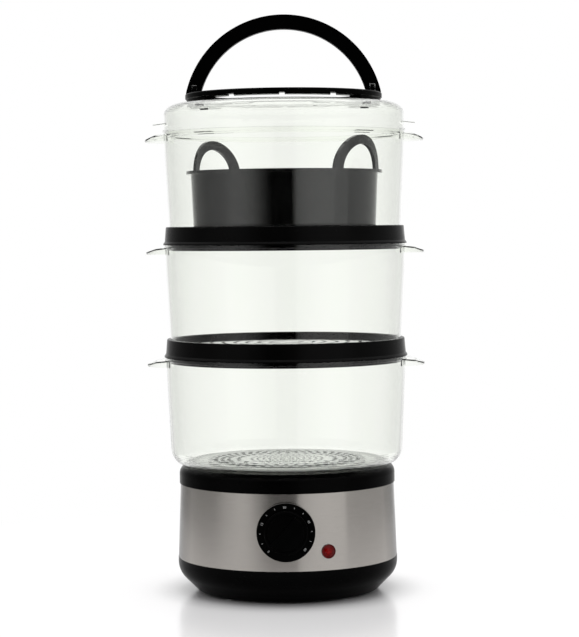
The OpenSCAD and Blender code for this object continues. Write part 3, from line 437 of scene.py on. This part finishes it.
def floor():
    """A pale, slightly glossy table.

    The camera, also through clear pieces, sees it a little brighter than it is, except close to the base,
    where a painted shadow takes that away, and sees it fade into the white backdrop, so that its rim doesn't
    show."""
    bm = bmesh.new()
    bmesh.ops.create_circle(bm, cap_ends=True, radius=FLOOR_RADIUS, segments=FLOOR_SIDES)
    mesh = bpy.data.meshes.new("floor")
    bm.to_mesh(mesh)
    bm.free()
    table = bpy.data.objects.new("floor", mesh)
    bpy.context.scene.collection.objects.link(table)
    m = Nodes("floor")
    m.set(Base_Color=(0.80, 0.79, 0.80, 1), Roughness=0.2)
    # painted shadow: near the object, ambient occlusion takes the camera-only glow away
    painted_shadow_ao = m.add("ShaderNodeAmbientOcclusion", samples=8)
    painted_shadow_ao.inputs["Distance"].default_value = PAINTED_SHADOW_REACH
    glow = m.add("ShaderNodeEmission")
    strength = m.ramp(painted_shadow_ao.outputs["AO"], grey(0.0), grey(GLOW), start=0.45, end=0.9)
    m.link(strength, glow.inputs["Strength"])
    brightened = m.add("ShaderNodeAddShader")
    m.link(m.shader.outputs[0], brightened.inputs[0])
    m.link(glow.outputs[0], brightened.inputs[1])
    backdrop = m.add("ShaderNodeEmission")
    away = m.add("ShaderNodeVectorMath", operation="LENGTH")
    m.link(m.place(), away.inputs[0])
    fade = m.ramp(away.outputs["Value"], grey(0.0), grey(1.0), FADE_START, FADE_END)
    faded = m.mix_shaders(fade, brightened.outputs[0], backdrop.outputs[0])
    path = m.add("ShaderNodeLightPath")
    seen = m.math("MAXIMUM", path.outputs["Is Camera Ray"], path.outputs["Is Transmission Ray"])
    m.surface(m.mix_shaders(seen, m.shader.outputs[0], faded))
    mesh.materials.append(m.material)


def surround():
    """A studio that is uneven by direction lights the object.

    The camera sees plain white in its place, and so do rays through clear pieces that nothing has mirrored,
    and rays that were mirrored twice or more."""
    world = bpy.data.worlds.new("studio")
    bpy.context.scene.world = world
    world.use_nodes = True
    world.node_tree.nodes.clear()
    w = Tree(world.node_tree)

    direction = w.add("ShaderNodeSeparateXYZ")
    w.link(w.add("ShaderNodeTexCoord").outputs["Generated"], direction.inputs[0])
    backward = w.math("MULTIPLY", direction.outputs["Y"], -1.0)
    angle = w.math("ARCTAN2", direction.outputs["X"], backward)
    turned = w.math("ADD", w.math("DIVIDE", angle, 2 * math.pi), 0.5)
    level = w.stops(turned, [(degrees / 360 + 0.5, grey(value)) for degrees, value in ROUND])
    above = w.stops(direction.outputs["Z"], [(height, grey(value)) for height, value in ABOVE])
    light = w.add("ShaderNodeMix", data_type="RGBA")
    w.link(above, light.inputs["Factor"])
    w.link(level, light.inputs["A"])
    light.inputs["B"].default_value = (*grey(OVERHEAD), 1)
    studio = w.add("ShaderNodeBackground")
    w.link(light.outputs["Result"], studio.inputs["Color"])

    path = w.add("ShaderNodeLightPath")
    unmirrored = w.math("LESS_THAN", path.outputs["Glossy Depth"], 0.5)
    straight = w.math("MULTIPLY", path.outputs["Is Transmission Ray"], unmirrored)
    direct = w.math("MAXIMUM", path.outputs["Is Camera Ray"], straight)
    twice_mirrored = w.math("GREATER_THAN", path.outputs["Glossy Depth"], 1.5)
    seen = w.math("MAXIMUM", direct, twice_mirrored)
    white = w.add("ShaderNodeBackground")
    white.inputs["Color"].default_value = (1, 1, 1, 1)
    output = w.add("ShaderNodeOutputWorld")
    w.link(w.mix_shaders(seen, studio.outputs[0], white.outputs[0]), output.inputs["Surface"])


def camera():
    """The camera of the photograph: a long lens, a little above the middle of the stack."""
    right = Vector((math.cos(CAMERA_YAW), -math.sin(CAMERA_YAW), 0))
    forward = Vector((math.sin(CAMERA_YAW) * math.cos(CAMERA_PITCH),
                      math.cos(CAMERA_YAW) * math.cos(CAMERA_PITCH), -math.sin(CAMERA_PITCH)))
    up = right.cross(forward)
    level = Matrix((right, up, -forward)).transposed().to_4x4()
    place = Matrix.Translation((0, -CAMERA_DISTANCE, CAMERA_HEIGHT))
    data = bpy.data.cameras.new("camera")
    data.sensor_fit = "VERTICAL"
    data.sensor_height = SENSOR
    data.lens = FOCAL_PIXELS * SENSOR / FRAME_H
    eye = bpy.data.objects.new("camera", data)
    eye.matrix_world = (Matrix.Rotation(CAMERA_ROUND, 4, "Z") @ place @ level
                        @ Matrix.Rotation(CAMERA_ROLL, 4, "Z"))
    bpy.context.scene.collection.objects.link(eye)
    bpy.context.scene.camera = eye


camera()
floor()
surround()
for node, finish in FINISH.items():
    dress(node, finish)
dial_marks()

bpy.context.scene.view_settings.view_transform = "Standard"
# Light goes through many clear surfaces in the stack before it leaves
paths = bpy.context.scene.cycles
paths.max_bounces = 32
paths.glossy_bounces = 24
paths.transmission_bounces = 32
